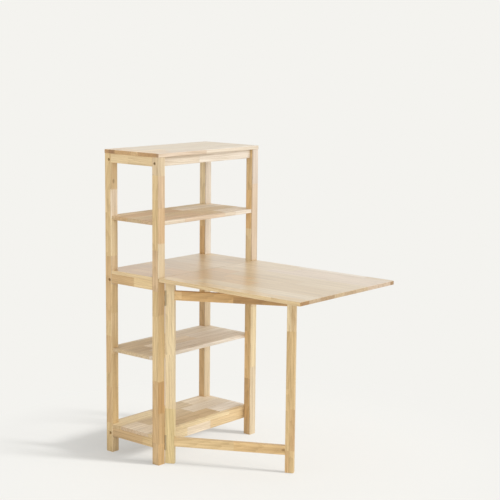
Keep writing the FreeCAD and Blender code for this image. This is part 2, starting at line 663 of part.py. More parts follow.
# Leaf hinges under the seam between the middle shelf and the leaf.
shelf_spots, leaf_spots = [], []
LEAF_HINGE_OUT = f"({LONG_RAIL_LENGTH} / 2 - leaf_hinge_from_post - hinge_length / 2)"
for name, centre in {"left": f"-{LEAF_HINGE_OUT}", "right": LEAF_HINGE_OUT}.items():
    start = f"({centre} - hinge_length / 2)"
    finish = f"({centre} + hinge_length / 2)"
    hinge_plate(f"leaf_hinge_{name}_shelf_plate", (start, LEAF_AXIS_Y, LEAF_AXIS_Z), "leaf_knuckle_drop",
                False, turn="+X")
    hinge_plate(f"leaf_hinge_{name}_leaf_plate", (finish, LEAF_AXIS_Y, LEAF_AXIS_Z), "leaf_knuckle_drop",
                True, turn="under leaf")
    pin = rod("+X", (start, LEAF_AXIS_Y, LEAF_AXIS_Z), "hinge_pin_dia", "hinge_length")
    pin.Label = f"leaf_hinge_{name}_pin"
    nodes.append(pin)
    for rise in HINGE_SCREW_RISES:
        shelf_spots.append((f"{start} + {rise}", f"{LEAF_AXIS_Y} + {HINGE_SCREW_SPAN}", TABLE_UNDER))
        leaf_spots.append((f"{start} + {rise}", f"{LEAF_AXIS_Y} - ({HINGE_SCREW_SPAN})", TABLE_UNDER))
middle_shelf.drill("+Z", shelf_spots, PILOT_HOLE, "hinge_screw_length")
table_leaf.drill("+Z", leaf_spots, PILOT_HOLE, "hinge_screw_length")
unit_screws += [hinge_screw("+Z", (x, y, f"{z} - plate_thick")) for x, y, z in shelf_spots]
leaf_screws += [hinge_screw("+Z", (x, y, f"{z} - plate_thick")) for x, y, z in leaf_spots]

# Fasteners, each kind as one group of separate solids.
group("frame_bolts", bolts)
group("barrel_nuts", nuts)
group("rail_dowels", dowels)
group("board_screws", board_screws)
group("shelf_pins", shelf_pins)
group("gate_dowels", gate_dowels, True)
group("hinge_screws_unit", unit_screws)
group("hinge_screws_gate", gate_screws, True)
group("hinge_screws_leaf", leaf_screws)

# Every feature must have been made, every pocket must have removed wood or steel, and every shape be whole.
doc.recompute()
failed = [item.Name for item in doc.Objects if {"Invalid", "Error"} & set(item.State)]
if failed:
    raise RuntimeError(f"not made: {failed}")
for item in doc.Objects:
    if item.TypeId == "PartDesign::Pocket" and item.Shape.Volume >= item.BaseFeature.Shape.Volume:
        raise RuntimeError(f"cuts nothing: {item.Name}")
for node in nodes:
    if node.Shape.isNull() or not node.Shape.isValid():
        raise RuntimeError(f"bad shape: {node.Label}")

os.makedirs("parts", exist_ok=True)
for node in nodes:
    node.Shape.exportStep(f"parts/{node.Label}.step")
print(f"{len(nodes)} sub-parts, {sum(len(node.Shape.Solids) for node in nodes)} solids")
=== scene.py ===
# %% [markdown]
# # A gate-leg table with a shelf unit
# The real object is a kitchen table for a small room. An open shelf unit of solid rubberwood stands on four
# posts, a table leaf is hinged to the front of its middle shelf, and a gate leg swings out to carry the leaf.
# The CAD model gives every shape and size, so this file is about what a CAD model lacks: the look of the wood and
# the steel, and the small turned and stamped details of the metal pieces. We load the CAD model first.

# %% Load the CAD model
import math
import random

import bmesh
import bpy
from mathutils import Matrix, Vector


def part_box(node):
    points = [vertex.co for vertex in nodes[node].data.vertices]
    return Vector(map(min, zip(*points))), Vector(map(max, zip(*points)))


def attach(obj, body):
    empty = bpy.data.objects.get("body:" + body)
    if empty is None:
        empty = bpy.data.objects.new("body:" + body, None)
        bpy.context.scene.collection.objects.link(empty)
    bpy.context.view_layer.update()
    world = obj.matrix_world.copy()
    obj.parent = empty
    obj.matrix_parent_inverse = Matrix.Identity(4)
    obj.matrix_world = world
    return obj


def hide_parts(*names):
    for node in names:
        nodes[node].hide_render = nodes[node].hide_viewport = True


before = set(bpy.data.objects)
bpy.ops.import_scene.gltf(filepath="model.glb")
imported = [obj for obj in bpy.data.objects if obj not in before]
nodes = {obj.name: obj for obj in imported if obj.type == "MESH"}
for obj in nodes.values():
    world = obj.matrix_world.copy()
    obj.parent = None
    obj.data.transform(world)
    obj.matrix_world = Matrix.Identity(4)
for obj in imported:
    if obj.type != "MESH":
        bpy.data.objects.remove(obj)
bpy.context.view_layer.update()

# %% [markdown]
# ## Colours and nodes
# Colours are written as on a paint card, in sRGB hex. Blender's shaders work in linear light, so one function
# converts them. A second function adds a node, sets it and wires it, because a material of sixty nodes is hard to
# read when each one takes five lines.

# %% Three helpers for materials
MM = 0.001


def linear(hex_code):
    """The linear red, green, blue and alpha of an sRGB hex colour."""
    parts = [int(hex_code[i:i + 2], 16) / 255 for i in (1, 3, 5)]
    return [c / 12.92 if c <= 0.04045 else ((c + 0.055) / 1.055) ** 2.4 for c in parts] + [1.0]


def add(tree, kind, inputs=None, **settings):
    """Add one node. An input is a value, a socket, or a node whose first output is meant."""
    node = tree.nodes.new("ShaderNode" + kind)
    for name, value in settings.items():
        setattr(node, name, value)
    for key, value in (inputs or {}).items():
        if isinstance(value, bpy.types.Node):
            value = value.outputs[0]
        if isinstance(value, bpy.types.NodeSocket):
            tree.links.new(value, node.inputs[key])
        else:
            node.inputs[key].default_value = value
    return node


def empty_material(name):
    """A material with no nodes yet, and its tree."""
    material = bpy.data.materials.new(name)
    material.use_nodes = True
    material.node_tree.nodes.clear()
    return material, material.node_tree


print("cream in linear light:", [round(c, 3) for c in linear("#E6CFA6")])

# %% [markdown]
# ## Rubberwood
# Rubberwood comes from short plantation logs, so a maker saws it into blocks, cuts fingers into their ends and
# glues them into long strips. Two strips make a post, and five to ten make a board. The eye knows this wood by its
# blocks: each keeps its own tone, from pale cream to tan, and ends on a straight or toothed line.
#
# A picture of wood would repeat and would not turn the corner of a post. So the pattern is worked out in the
# shader, from the distance in millimetres along the grain, across the strips and through them. A Mapping node
# turns the object's coordinates into these three, for a piece that lies in any direction.

# %% Tones of the wood, and the directions of a piece
TONES = {
    "ivory": "#EFE3D2", "cream": "#F0DFC5", "linen": "#E9DAC4", "butter": "#EED9AF", "shell": "#E0CAB0",
    "pearl": "#DFCFBE", "straw": "#E8CD9F", "chaff": "#E4D0AE", "wheat": "#E1C8A1", "flax": "#DFCAA8",
    "gold": "#E6C48E", "honey": "#E2C593", "corn": "#E2CC97", "oat": "#DAC39E", "blush": "#D9BD9A",
    "biscuit": "#DCBE8B", "rose": "#D8B88E", "amber": "#DDB67D", "rye": "#D3B990", "tan": "#D5B280",
    "sand": "#CDAC7D", "toffee": "#C8A06B",
}
X, Y, Z = Vector((1, 0, 0)), Vector((0, 1, 0)), Vector((0, 0, 1))


def reach(name, way):
    """The lowest and highest value of a CAD piece along a direction, in metres."""
    values = [corner.co.dot(way) for corner in nodes[name].data.vertices]
    return min(values), max(values)


def wood_directions(tree, name, grain, across):
    """Three sockets: millimetres along the grain, across the strips and through them."""
    ways = (grain, across, grain.cross(across))
    corner = Vector([reach(name, way)[0] for way in ways])
    place = add(tree, "TexCoord")
    spot = add(tree, "Mapping", {"Vector": place.outputs["Object"], "Rotation": Matrix(ways).to_euler(),
                                 "Location": -corner / MM, "Scale": (1 / MM,) * 3})
    return add(tree, "SeparateXYZ", {0: spot}).outputs


print("a post is", round(reach("post_front_left", Z)[1] / MM), "mm tall")

# %% [markdown]
# ## The grain of one block
# Inside a block there are finer patterns. Growth rings lie round the heart of the tree, which is off to one side
# and leans a little, so a flat face cuts them into long bands and arches. Fibres run along the grain in streaks of
# several widths. Pores are short dark dashes, and a knot is the foot of a branch. A Wave texture would draw the rings
# as even stripes, so they are worked out from the distance to the heart. The rest is noise stretched along the
# grain. Rings, fibres and pores of the real wood are finer than one pixel here, so they are drawn a little coarser
# than life.

# %% Stretched noise along the grain
# Length and width of a streak in millimetres, and the detail of its noise.
STREAKS = {"wander": (160, 28, 2.0), "fibre": (150, 3.4, 3.0), "band": (280, 10, 1.0), "pore": (9, 0.7, 0.0)}
STREAK_ROUGHNESS = 0.6
LUCK_SHIFT = 90.0


def streaks(tree, directions, kind, luck):
    """Noise stretched along the grain; the lucky number of a block shifts it, so that no two blocks match."""
    long_mm, wide_mm, detail = STREAKS[kind]
    along, across, through = directions
    spot = add(tree, "CombineXYZ", {0: along, 1: across, 2: through})
    spot = add(tree, "VectorMath", {0: spot, 1: (1 / long_mm, 1 / wide_mm, 1 / wide_mm)}, operation="MULTIPLY")
    shift = add(tree, "Math", {0: luck, 1: LUCK_SHIFT}, operation="MULTIPLY")
    return add(tree, "TexNoise", {"Vector": spot, "W": shift, "Scale": 1.0, "Detail": detail,
                                  "Roughness": STREAK_ROUGHNESS}, noise_dimensions="4D")


print("streaks, long and wide in mm:", {kind: sizes[:2] for kind, sizes in STREAKS.items()})

# %% Growth rings
RING_MM = 7.0
RING_WANDER_MM = 16.0
LATE_WOOD_FROM = 0.3
# The heart's place for lucky numbers 0 and 1, aside of the piece's edge and under its face, and its lean.
HEART_ASIDE_MM = (-60.0, 50.0)
HEART_UNDER_MM = (14.0, 74.0)
HEART_LEAN = 0.07
SECOND_LUCK = 17.3


def growth_rings(tree, directions, luck):
    """Dark late wood as 1 and pale early wood as 0, round a heart that leans along the block."""
    along, across, through = directions
    (left, right), (near, deep) = HEART_ASIDE_MM, HEART_UNDER_MM
    second = add(tree, "Math", {0: luck, 1: SECOND_LUCK}, operation="MULTIPLY")
    second = add(tree, "Math", {0: second}, operation="FRACT")
    aside = add(tree, "Math", {0: luck, 1: right - left, 2: left}, operation="MULTIPLY_ADD")
    aside = add(tree, "Math", {0: across, 1: aside}, operation="ADD")
    under = add(tree, "Math", {0: second, 1: deep - near, 2: near}, operation="MULTIPLY_ADD")
    under = add(tree, "Math", {0: along, 1: HEART_LEAN, 2: under}, operation="MULTIPLY_ADD")
    under = add(tree, "Math", {0: through, 1: under}, operation="ADD")
    heart = add(tree, "CombineXYZ", {0: aside, 1: under})
    radius = add(tree, "VectorMath", {0: heart}, operation="LENGTH").outputs["Value"]
    wander = streaks(tree, directions, "wander", luck)
    radius = add(tree, "Math", {0: wander, 1: RING_WANDER_MM, 2: radius}, operation="MULTIPLY_ADD")
    ring = add(tree, "Math", {0: radius, 1: RING_MM}, operation="DIVIDE")
    ring = add(tree, "Math", {0: ring}, operation="FRACT")
    return add(tree, "MapRange", {"Value": ring, "From Min": LATE_WOOD_FROM, "From Max": 1.0},
               interpolation_type="SMOOTHSTEP")


print("rings every", RING_MM, "mm")

# %% A knot
KNOT_SQUEEZE = 0.6
# Shares of the knot's radius up to which it is dark, and from which the wood is clear.
KNOT_DARK, KNOT_CLEAR = 0.3, 1.3


def knot_in(tree, directions, at_mm, radius_mm):
    """A dark knot as 1 and clear wood as 0, round the line that a branch took: None stands for its own direction."""
    away = [add(tree, "Math", {0: way, 1: spot}, operation="SUBTRACT")
            for way, spot in zip(directions, at_mm) if spot is not None]
    long = add(tree, "Math", {0: away[0], 1: KNOT_SQUEEZE}, operation="MULTIPLY")
    spot = add(tree, "CombineXYZ", {0: long, 1: away[1]})
    far = add(tree, "VectorMath", {0: spot}, operation="LENGTH").outputs["Value"]
    return add(tree, "MapRange", {"Value": far, "From Min": KNOT_DARK * radius_mm, "From Max": KNOT_CLEAR * radius_mm,
                                  "To Min": 1.0, "To Max": 0.0}, interpolation_type="SMOOTHSTEP")


print("a knot is", round(1 / KNOT_SQUEEZE, 1), "times as long as it is wide")

# %% Light and dark in the wood
# Most values of a noise lie between these two.
USUAL_NOISE = {"From Min": 0.3, "From Max": 0.7}
FIBRE_SHADE = {"To Min": 0.87, "To Max": 1.12}
BAND_SHADE = {"To Min": -0.11, "To Max": 0.11}
PORES = {"From Min": 0.66, "From Max": 0.76}
DARKER_BY = {"ring": 0.11, "pore": 0.16, "glue": 0.15, "knot": 0.34}
# Dark wood is also warmer: its green and blue sink faster than its red.
WARMER = {"green": 1.2, "blue": 1.5}


def wood_shade(tree, directions, luck, glue, knot):
    """How light each spot is, as a factor for red, green and blue, and the fibres and pores that the relief needs."""
    fibre = streaks(tree, directions, "fibre", luck)
    band = streaks(tree, directions, "band", luck)
    pore = streaks(tree, directions, "pore", luck)
    pore = add(tree, "MapRange", {"Value": pore, **PORES}, interpolation_type="SMOOTHSTEP")
    shade = add(tree, "MapRange", {"Value": fibre, **USUAL_NOISE, **FIBRE_SHADE})
    light = add(tree, "MapRange", {"Value": band, **USUAL_NOISE, **BAND_SHADE})
    shade = add(tree, "Math", {0: shade, 1: light}, operation="ADD")
    marks = {"ring": growth_rings(tree, directions, luck), "pore": pore, "glue": glue}
    if knot:
        marks["knot"] = knot_in(tree, directions, *knot)
    for mark, dark in marks.items():
        shade = add(tree, "Math", {0: dark, 1: -DARKER_BY[mark], 2: shade}, operation="MULTIPLY_ADD")
    green, blue = (add(tree, "Math", {0: shade, 1: power}, operation="POWER") for power in WARMER.values())
    return add(tree, "CombineXYZ", {0: shade, 1: green, 2: blue}), fibre, pore


print("a pore takes", DARKER_BY["pore"], "of the light, a knot", DARKER_BY["knot"])

# %% [markdown]
# ## Sawn ends and lacquer
# The sawn end of a block drinks more lacquer, some blocks more than others, and looks darker. The surface knows
# where it is cut across: there its normal runs along the grain. A clear satin lacquer lies over it all. That is what
# the shader's coat is for: it takes little light from straight ahead, but at a low angle the table top turns pale
# with the room that it mirrors.

# %% Sawn ends
# Cosine of the angle between the surface's normal and the grain: plain wood below the first, an end above the second.
SAWN = {"From Min": 0.6, "From Max": 0.95}
SOAKED = "#C4AA8A"


def wood_colour(tree, tone, shade, luck, grain):
    """The colour of the wood, darker where it is cut across, and how far each spot is cut across."""
    face = add(tree, "Mix", {0: 1.0, 6: tone, 7: shade}, data_type="RGBA", blend_type="MULTIPLY").outputs[2]
    normal = add(tree, "TexCoord").outputs["Normal"]
    facing = add(tree, "VectorMath", {0: normal, 1: grain}, operation="DOT_PRODUCT").outputs["Value"]
    facing = add(tree, "Math", {0: facing}, operation="ABSOLUTE")
    sawn = add(tree, "MapRange", {"Value": facing, **SAWN}, interpolation_type="SMOOTHSTEP")
    thirst = add(tree, "Math", {0: luck, 1: sawn}, operation="MULTIPLY")
    soaked = add(tree, "Mix", {0: 1.0, 6: face, 7: linear(SOAKED)}, data_type="RGBA", blend_type="MULTIPLY")
    return add(tree, "Mix", {0: thirst, 6: face, 7: soaked.outputs[2]}, data_type="RGBA").outputs[2], sawn


print("an end starts", round(math.degrees(math.acos(SAWN["From Min"]))), "degrees off the grain")

# %% Lacquer
# Lowest and highest roughness, and the shader's sockets for the clear layer.
LACQUER = {
    "frame": ((0.34, 0.46), {"IOR": 1.5}),
    "shelf": ((0.5, 0.6), {"IOR": 1.4}),
    "table": ((0.36, 0.48), {"IOR": 1.5, "Coat Weight": 1.0, "Coat Roughness": 0.3, "Coat IOR": 1.5}),
}
SAWN_ROUGHER = 0.15
FAINT = 0.1
GRAIN_DEPTH_MM = 0.3


def lacquered(tree, colour, sawn, fibre, pore, lacquer):
    """Gloss and relief over the colour of the wood, as a finished surface."""
    (low, high), clear = LACQUER[lacquer]
    rough = add(tree, "MapRange", {"Value": fibre, "To Min": low, "To Max": high, **USUAL_NOISE})
    rough = add(tree, "Math", {0: sawn, 1: SAWN_ROUGHER, 2: rough}, operation="MULTIPLY_ADD")
    relief = add(tree, "Math", {0: pore, 1: -1.0, 2: fibre}, operation="MULTIPLY_ADD")
    bump = add(tree, "Bump", {"Height": relief, "Strength": FAINT, "Distance": GRAIN_DEPTH_MM * MM})
    shader = add(tree, "BsdfPrincipled", {"Base Color": colour, "Roughness": rough, "Normal": bump, **clear})
    add(tree, "OutputMaterial", {"Surface": shader})


print("lacquer over", len(TONES), "tones of wood, for", ", ".join(LACQUER))

# %% [markdown]
# ## Gluing blocks and strips
# A list says where each strip starts across the piece, and where each of its blocks starts along the grain, with the
# block's tone. One could give every block an object of its own, but the real joints are flat: only the tone and the
# grain change. So each strip becomes a Color Ramp with constant steps, whose alpha holds a lucky number for every
# block. It shifts the grain, and tells how much lacquer the sawn end drinks, unless the list gives that thirst. A
# second ramp, with narrow peaks, draws the glue. The teeth of a finger joint are a zigzag, so the distance along the
# grain is shifted by one.

# %% Finger joints
FINGER_MM = 4.4
FINGER_LENGTH_MM = 6.0


def toothed(tree, along, through):
    """The distance along the grain, with the zigzag of finger joints in it."""
    tooth = add(tree, "Math", {0: through, 1: FINGER_MM / 2}, operation="PINGPONG")
    tooth = add(tree, "Math", {0: tooth, 1: 2 * FINGER_LENGTH_MM / FINGER_MM, 2: -FINGER_LENGTH_MM / 2},
                operation="MULTIPLY_ADD")
    return add(tree, "Math", {0: along, 1: tooth}, operation="ADD")


print("fingers", FINGER_MM, "mm wide and", FINGER_LENGTH_MM, "mm long")

# %% One strip of blocks
GLUE_MM = 0.5
NO_GLUE, GLUE = (0, 0, 0, 1), (1, 1, 1, 1)


def strip_of_blocks(tree, share, length_mm, blocks, lucky):
    """Three sockets for a strip: the tone, the lucky number and the glue at each share of its length."""
    steps, peaks, glue = [], [(0.0, NO_GLUE)], GLUE_MM / length_mm
    for start, tone, *thirst in blocks:
        place, luck = start / length_mm, lucky.random()
        steps.append((place, linear(TONES[tone])[:3] + [thirst[0] if thirst else luck]))
        if start:
            peaks += [(place - glue, NO_GLUE), (place, GLUE), (place + glue, NO_GLUE)]
    sockets = []
    for stops, between in ((steps, "CONSTANT"), (peaks, "LINEAR")):
        ramp = add(tree, "ValToRGB", {0: share})
        ramp.color_ramp.interpolation = between
        ramp.color_ramp.elements.remove(ramp.color_ramp.elements[1])
        for number, (place, colour) in enumerate(stops):
            stop = ramp.color_ramp.elements.new(place) if number else ramp.color_ramp.elements[0]
            stop.color = colour
        sockets += ramp.outputs
    return sockets[:3]


print("glue lines", 2 * GLUE_MM, "mm wide, coarser than life so that they show")

# %% A material for a glued piece
def glued_wood(name, grain, across, strips, seed, knot=None, lacquer="frame"):
    """Dress a CAD piece in strips of blocks: (start across in mm, [(start along in mm, tone, thirst), ...])."""
    # Finger-jointed rubberwood, planed and lacquered: pale warm blocks with fine streaks, darker ends, a satin sheen.
    material, tree = empty_material("finger-jointed rubberwood " + name)
    directions = wood_directions(tree, name, grain, across)
    along, side, through = directions
    low, high = reach(name, grain)
    length_mm = (high - low) / MM
    lucky = random.Random(seed)
    share = add(tree, "Math", {0: toothed(tree, along, through), 1: length_mm}, operation="DIVIDE")
    rows = [strip_of_blocks(tree, share, length_mm, blocks, lucky) for _, blocks in strips]
    tone, luck, glue = rows[0]
    for (start, _), row in zip(strips[1:], rows[1:]):
        inside = add(tree, "Math", {0: side, 1: start}, operation="GREATER_THAN")
        tone = add(tree, "Mix", {0: inside, 6: tone, 7: row[0]}, data_type="RGBA").outputs[2]
        luck = add(tree, "Mix", {0: inside, 2: luck, 3: row[1]}).outputs[0]
        glue = add(tree, "Mix", {0: inside, 2: glue, 3: row[2]}).outputs[0]
        seam = add(tree, "Math", {0: side, 1: start, 2: GLUE_MM}, operation="COMPARE")
        glue = add(tree, "Math", {0: glue, 1: seam}, operation="MAXIMUM")
    shade, fibre, pore = wood_shade(tree, directions, luck, glue, knot)
    colour, sawn = wood_colour(tree, tone, shade, luck, grain)
    lacquered(tree, colour, sawn, fibre, pore, lacquer)
    nodes[name].material_slots[0].material = material
    return len(tree.nodes)


print("a glued piece joins its strips at", 2 * GLUE_MM, "mm seams")

# %% [markdown]
# ## Dressing the posts
# Each post's two strips lie one behind the other, with the seam close to the front: the front face shows one strip, and
# the sides show almost only the other. So the front and the sides take tones of their own, and these carry painted
# light and shade besides the wood's own tone: painted light on the pale fronts of the right posts, the painted shadow
# of the leaf and painted shade near the floor on the front left post, and painted warm bounce light and shade on the
# sides. The lists run from the floor up, front strip first. One post has a knot near its top.

# %% Wood for the four posts
# Tones face by face, with painted light and shade in them: pale painted light on the fronts of the right posts, the
# painted shadow of the leaf from 600 to 745 mm and painted shade near the floor on the front left post, and painted
# warm bounce light and shade on the sides.
POST_BLOCKS_AND_LIGHT = {
    "post_front_left": (
        [(0, "tan"), (85, "sand"), (205, "toffee"), (335, "biscuit"), (600, "sand"), (745, "chaff"), (880, "rose"),
         (1020, "blush"), (1140, "flax")],
        [(0, "sand"), (85, "tan"), (335, "honey"), (592, "biscuit"), (690, "rose"), (850, "biscuit"), (1045, "honey"),
         (1140, "wheat")]),
    "post_front_right": (
        [(0, "chaff"), (290, "butter"), (555, "wheat"), (750, "shell"), (1070, "pearl")],
        [(0, "tan"), (240, "gold"), (445, "biscuit"), (620, "butter"), (880, "gold"), (1040, "honey")]),
    "post_back_left": (
        [(0, "straw"), (100, "honey"), (405, "straw"), (570, "honey"), (690, "wheat"), (805, "butter"), (955, "cream"),
         (1070, "straw"), (1180, "honey")],
        [(0, "biscuit"), (118, "tan"), (267, "biscuit"), (325, "tan"), (475, "biscuit"), (540, "tan"),
         (800, "biscuit"), (975, "honey"), (1065, "biscuit")]),
    "post_back_right": (
        [(0, "chaff"), (320, "flax"), (600, "ivory"), (920, "ivory")],
        [(0, "tan"), (320, "sand"), (560, "amber"), (865, "gold"), (960, "butter")]),
}
# Where a knot lies along, across and through the piece, and its radius, in millimetres.
POST_KNOTS = {"post_back_left": ((1105, None, 22), 6)}
# The seam lies just behind the front face, so that the front and the sides carry their painted light and shade apart.
POST_SEAM_AND_FACE_LIGHT_MM = 4.0
POST_SEED = 100
for number, (name, (front, back)) in enumerate(POST_BLOCKS_AND_LIGHT.items()):
    strips = [(0, front), (POST_SEAM_AND_FACE_LIGHT_MM, back)]
    count = glued_wood(name, Z, Y, strips, POST_SEED + number, POST_KNOTS.get(name))
    print(name, len(front) + len(back), "blocks,", count, "nodes")

# %% [markdown]
# ## Dressing the rails
# A rail is short and thin, so most show two or three blocks of one strip. Side rails run front to back and long
# rails run left to right. Rails that the photo doesn't show get random blocks from a seeded generator, so that they
# are the same in every run.

# %% Random blocks
COMMON = ("straw", "honey", "biscuit", "rose", "tan", "butter", "honey")
FIRST_BLOCK_MM, NEXT_BLOCK_MM, SHORTEST_END_MM = (60, 300), (150, 340), 40


def random_blocks(length_mm, lucky):
    """Blocks of random length and common tones, for a strip that the photo doesn't show."""
    blocks, start = [(0, lucky.choice(COMMON))], lucky.uniform(*FIRST_BLOCK_MM)
    while start < length_mm - SHORTEST_END_MM:
        blocks.append((start, lucky.choice(COMMON)))
        start += lucky.uniform(*NEXT_BLOCK_MM)
    return blocks


print("a strip:", [(round(start), tone) for start, tone in random_blocks(700, random.Random(1))])

# %% Wood for the rails of the shelf unit
RAIL_BLOCKS_AND_LIGHT = {
    "top_rail_left": [(0, "straw"), (130, "straw")],
    "middle_rail_left": [(0, "honey"), (100, "tan")],
    "bottom_rail_left": [(0, "biscuit"), (55, "sand")],
    # The top front rail's linen and ivory are partly painted light and sheen on its front face.
    "top_rail_front": [(0, "linen"), (210, "ivory")],
    "bottom_rail_front": [(0, "butter"), (190, "cream"), (330, "straw")],
}
RANDOM_RAIL_SEED, RAIL_SEED = 200, 300
rails = [name for name in nodes if "_rail_" in name]
for number, name in enumerate(rails):
    low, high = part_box(name)
    size = (high - low) / MM
    grain, across = (Y, X) if size.y > size.x else (X, Y)
    lucky = random.Random(RANDOM_RAIL_SEED + number)
    blocks = RAIL_BLOCKS_AND_LIGHT.get(name) or random_blocks(max(size.x, size.y), lucky)
    glued_wood(name, grain, across, [(0, blocks)], RAIL_SEED + number)
print(len(rails), "rails dressed")

# %% [markdown]
# ## Dressing the gate
# The gate stands open at sixty-two degrees, so its grain and strips lie along directions that are turned by that
# angle about the hinge line. Its lower rail has a knot beside the outer leg.

# %% Wood for the gate
GATE_OPEN = math.radians(62)
GATE_ALONG = Vector((math.cos(GATE_OPEN), -math.sin(GATE_OPEN), 0))
LEG_SEAM_MM = 17.5
GATE_BLOCKS = {
    "gate_stile": (Z, GATE_ALONG, [(0, [(0, "corn"), (220, "butter"), (437, "butter")])]),
    "gate_leg": (Z, GATE_ALONG, [(0, [(0, "tan"), (85, "biscuit"), (330, "biscuit"), (557, "butter")]),
                                 (LEG_SEAM_MM, [(0, "biscuit"), (85, "tan"), (250, "biscuit"), (557, "straw")])]),
    "gate_top_rail": (GATE_ALONG, Z, [(0, [(0, "gold"), (25, "amber"), (230, "toffee")])]),
    "gate_bottom_rail": (GATE_ALONG, Z, [(0, [(0, "honey"), (237, "gold")])]),
}
GATE_KNOTS = {"gate_bottom_rail": ((438, 20, None), 5)}
GATE_SEED = 500
for number, (name, (grain, across, strips)) in enumerate(GATE_BLOCKS.items()):
    glued_wood(name, grain, across, strips, GATE_SEED + number, GATE_KNOTS.get(name))
    low, high = reach(name, grain)
    print(name, round((high - low) / MM), "mm long")

# %% [markdown]
# ## Boards: shelves, top and leaf
# A board is a row of strips side by side. The strips of the top board and of three shelves run left to right, so
# their left edges show sawn ends. Those of the middle shelf and of the leaf run front to back, so that the two look
# like one table when the leaf is up. A maker picks the wood of a table top with care, so its tones are close
# together, and two coats of lacquer go on it. Shelves get a thinner, duller coat.

# %% Wood for the table: leaf, middle shelf and top board
# These tones hold painted light besides the wood's own. The leaf turns paler towards its right end as painted sheen,
# and is tan next to the middle shelf as a painted dark reflection. The dark strips at the left of the middle shelf are
# partly painted shadow, and the pale front strip of the top board is painted light on its front edge.
TABLE_STRIPS_AND_LIGHT = {
    "table_leaf": (Y, [
        (0, [(0, "biscuit", 1.0), (130, "honey"), (380, "honey"), (600, "honey")]),
        (52, [(0, "flax", 0.6), (330, "oat"), (560, "tan")]),
        (122, [(0, "rye", 0.7), (345, "tan"), (480, "sand")]),
        (203, [(0, "rye", 0.2), (280, "rye"), (420, "tan"), (540, "sand")]),
        (268, [(0, "oat", 0.6), (230, "rye"), (560, "tan")]),
        (336, [(0, "oat", 0.4), (380, "oat"), (640, "oat")]),
        (412, [(0, "shell", 0.3), (190, "shell"), (500, "flax")]),
        (478, [(0, "shell", 0.35), (410, "flax")]),
        (562, [(0, "oat", 1.0), (120, "linen"), (450, "flax")])]),
    "middle_shelf": (Y, [
        (0, [(0, "honey"), (180, "honey")]), (5, [(0, "toffee"), (180, "toffee")]),
        (52, [(0, "tan"), (210, "toffee")]), (122, [(0, "tan"), (120, "sand")]),
        (203, [(0, "rye"), (190, "biscuit")]), (268, [(0, "oat"), (90, "rye")]),
        (336, [(0, "flax"), (230, "oat")]), (412, [(0, "oat"), (160, "flax")]),
        (478, [(0, "rye"), (110, "oat")]), (545, [(0, "oat"), (200, "biscuit")])]),
    "top_board": (X, [
        (0, [(0, "shell", 1.0), (270, "linen")]), (14, [(0, "amber", 0.7), (90, "rye"), (370, "oat")]),
        (58, [(0, "amber", 0.6), (130, "oat"), (420, "rye")]), (112, [(0, "gold", 0.35), (160, "rye"), (430, "oat")]),
        (150, [(0, "amber", 0.4), (70, "oat"), (310, "rye")]), (240, [(0, "toffee", 0.75), (60, "rye"), (350, "oat")]),
        (272, [(0, "amber", 0.7), (110, "oat"), (400, "rye")])]),
}
BOARD_SEED = 600
for seed, (name, (grain, strips)) in enumerate(TABLE_STRIPS_AND_LIGHT.items(), BOARD_SEED):
    count = glued_wood(name, grain, Y if grain is X else X, strips, seed, lacquer="table")
    print(name, len(strips), "strips,", count, "nodes")

# %% Wood for the other three shelves
# These tones hold painted light besides the wood's own. The pale front strips of the upper and lower shelves are
# painted light on their front edges, and the blocks turn paler from left to right as painted sheen. The lower shelf is
# near ivory all over as painted light, and the ivory and cream at the right end of the bottom shelf are painted light.
SHELF_STRIPS_AND_LIGHT = {
    "upper_shelf": [
        (0, [(0, "linen", 0.3), (150, "shell"), (385, "linen"), (450, "ivory")]),
        (20, [(0, "blush", 0.2), (300, "oat"), (410, "linen")]),
        (96, [(0, "oat", 0.3), (210, "rye"), (345, "flax")]),
        (170, [(0, "rose", 0.2), (320, "linen")]),
        (240, [(0, "wheat", 0.3), (180, "rye"), (370, "flax")])],
    "lower_shelf": [
        (0, [(0, "ivory", 0.3), (290, "ivory")]),
        (20, [(0, "flax", 0.2), (70, "ivory"), (300, "ivory")]),
        (90, [(0, "oat", 0.1), (110, "cream"), (360, "ivory")]),
        (165, [(0, "oat", 0.2), (240, "linen")]),
        (235, [(0, "flax", 0.3), (150, "linen"), (390, "ivory")])],
    "bottom_shelf": [
        (0, [(0, "butter", 0.4), (170, "butter"), (460, "straw")]),
        (22, [(0, "cream", 0.5), (110, "rye"), (430, "ivory")]),
        (100, [(0, "cream", 0.6), (90, "oat"), (350, "linen")]),
        (175, [(0, "butter", 0.5), (240, "flax"), (430, "cream")]),
        (250, [(0, "flax", 0.5), (150, "oat"), (380, "flax")])],
}
for seed, (name, strips) in enumerate(SHELF_STRIPS_AND_LIGHT.items(), BOARD_SEED + len(TABLE_STRIPS_AND_LIGHT)):
    count = glued_wood(name, X, Y, strips, seed, lacquer="shelf")
    print(name, len(strips), "strips,", count, "nodes")

# %% [markdown]
# ## Steel and beech
# Hinges, screws, bolts and nuts are steel with a skin of zinc. A metal has no colour of its own under the shine, so
# Metallic is 1 and the base colour tints what it mirrors. Here that base colour is a pale, warm grey: partly the zinc's
# own, and partly a painted reflection of the warm wood round it. Noise in the roughness makes the shine cloudy, and
# stretched noise stands for fine marks from the rolling mill. Dowels are bare beech, and almost nothing of them shows.

# %% Zinc-plated steel
CLOUD_MM, ROLLED_MM, ROLLED_DEPTH_MM = 6, (0.8, 0.8, 12), 0.1
# Pale warm greys: the zinc's own grey, warmed by a painted reflection of the wood round it.
ZINC_AND_WOOD_REFLECTION_TONES = ("#BBAC8D", "#D3C5A6")
ZINC_ROUGHNESS = {"To Min": 0.3, "To Max": 0.46}
